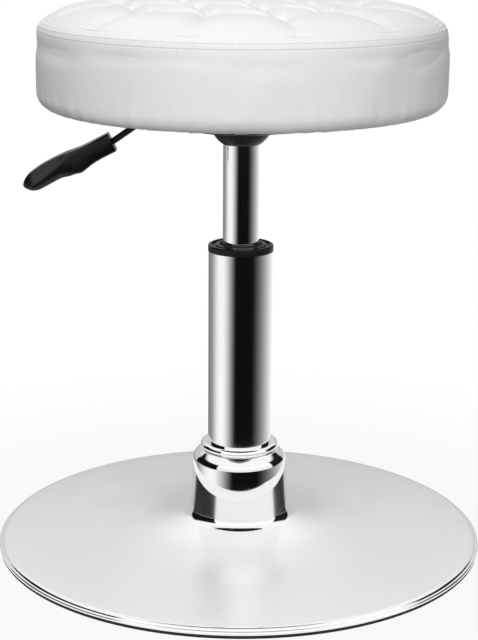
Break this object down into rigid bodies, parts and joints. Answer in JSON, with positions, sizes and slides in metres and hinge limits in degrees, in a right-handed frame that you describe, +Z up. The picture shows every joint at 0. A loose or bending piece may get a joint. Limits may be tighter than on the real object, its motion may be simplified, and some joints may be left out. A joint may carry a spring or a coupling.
{
  "type": "pedestal stool",
  "caption": "Round tufted seat with a stitched side band on a chrome gas lift with a release lever, turning and rising above a flared round chrome base.",
  "frame": {"origin": "on the floor at the centre of the base, on the axis of the column", "axes": "+Z up along the column, -Y to the front, -X towards the lever's handle"},
  "size_m": [0.385, 0.385, 0.43],
  "materials": {
    "chrome": "polished",
    "black_steel": "satin",
    "steel": "plain",
    "black_rubber": "matt",
    "black_plastic": "fine grain",
    "pale_plastic": "plain",
    "plywood": "raw",
    "black_fabric": "non-woven",
    "foam": "open cell",
    "white_leather": "fine grain"
  },
  "bodies": {
    "base": {"base_shell": "chrome", "base_floor_ring": "black_rubber", "base_plate": "black_steel", "base_hub": "steel", "column_trim_ring": "chrome", "column_tube": "chrome", "column_end_plate": "steel", "column_guide_bush": "black_plastic", "column_wiper_ring": "black_rubber", "bearing_lower_race": "steel"},
    "bearing": {"bearing_cage": "pale_plastic", "bearing_balls": "steel"},
    "rod": {"bearing_upper_race": "steel", "piston_rod": "steel", "rod_clip": "steel", "rod_washer": "steel", "bump_stop": "black_rubber", "piston": "steel", "piston_seal": "black_rubber"},
    "seat": {"gas_cylinder": "chrome", "cylinder_rod_guide": "steel", "cylinder_rod_seal": "black_rubber", "valve_body": "steel", "hub_cover": "black_plastic", "seat_hub": "steel", "seat_pan": "black_steel", "mounting_bolts": "steel", "bolt_washers": "steel", "tee_nuts": "steel", "lever_bracket": "black_steel", "dust_cover": "black_fabric", "seat_board": "plywood", "seat_side_band": "white_leather", "staples": "steel", "seat_foam": "foam", "seat_top_panel": "white_leather"},
    "lever": {"lever_pivot_barrel": "steel", "lever_rod": "black_steel", "lever_handle": "black_plastic"},
    "pin": {"release_pin": "steel"}
  },
  "joints": [
    {"name": "swivel", "type": "hinge", "parent": "base", "child": "rod", "pos_m": [0, 0, 0.0183], "axis": [0, 0, 1], "continuous": true},
    {"name": "cage_spin", "type": "hinge", "parent": "base", "child": "bearing", "pos_m": [0, 0, 0.0183], "axis": [0, 0, 1], "continuous": true},
    {"name": "seat_height", "type": "slide", "parent": "rod", "child": "seat", "axis": [0, 0, 1], "range_m": [-0.072, 0.048]},
    {"name": "lever_lift", "type": "hinge", "parent": "seat", "child": "lever", "pos_m": [-0.03, 0, 0.343], "axis": [0, 1, 0], "range_deg": [0, 5.7], "stiffness_Nm_per_rad": 10, "springref_deg": -1.15},
    {"name": "pin_press", "type": "slide", "parent": "seat", "child": "pin", "axis": [0, 0, -1], "range_m": [0, 0.003]}
  ],
  "couplings": [
    {"joint": "cage_spin", "follows": "swivel", "ratio": 0.5},
    {"joint": "pin_press", "follows": "lever_lift", "m_per_rad": 0.03}
  ]
}
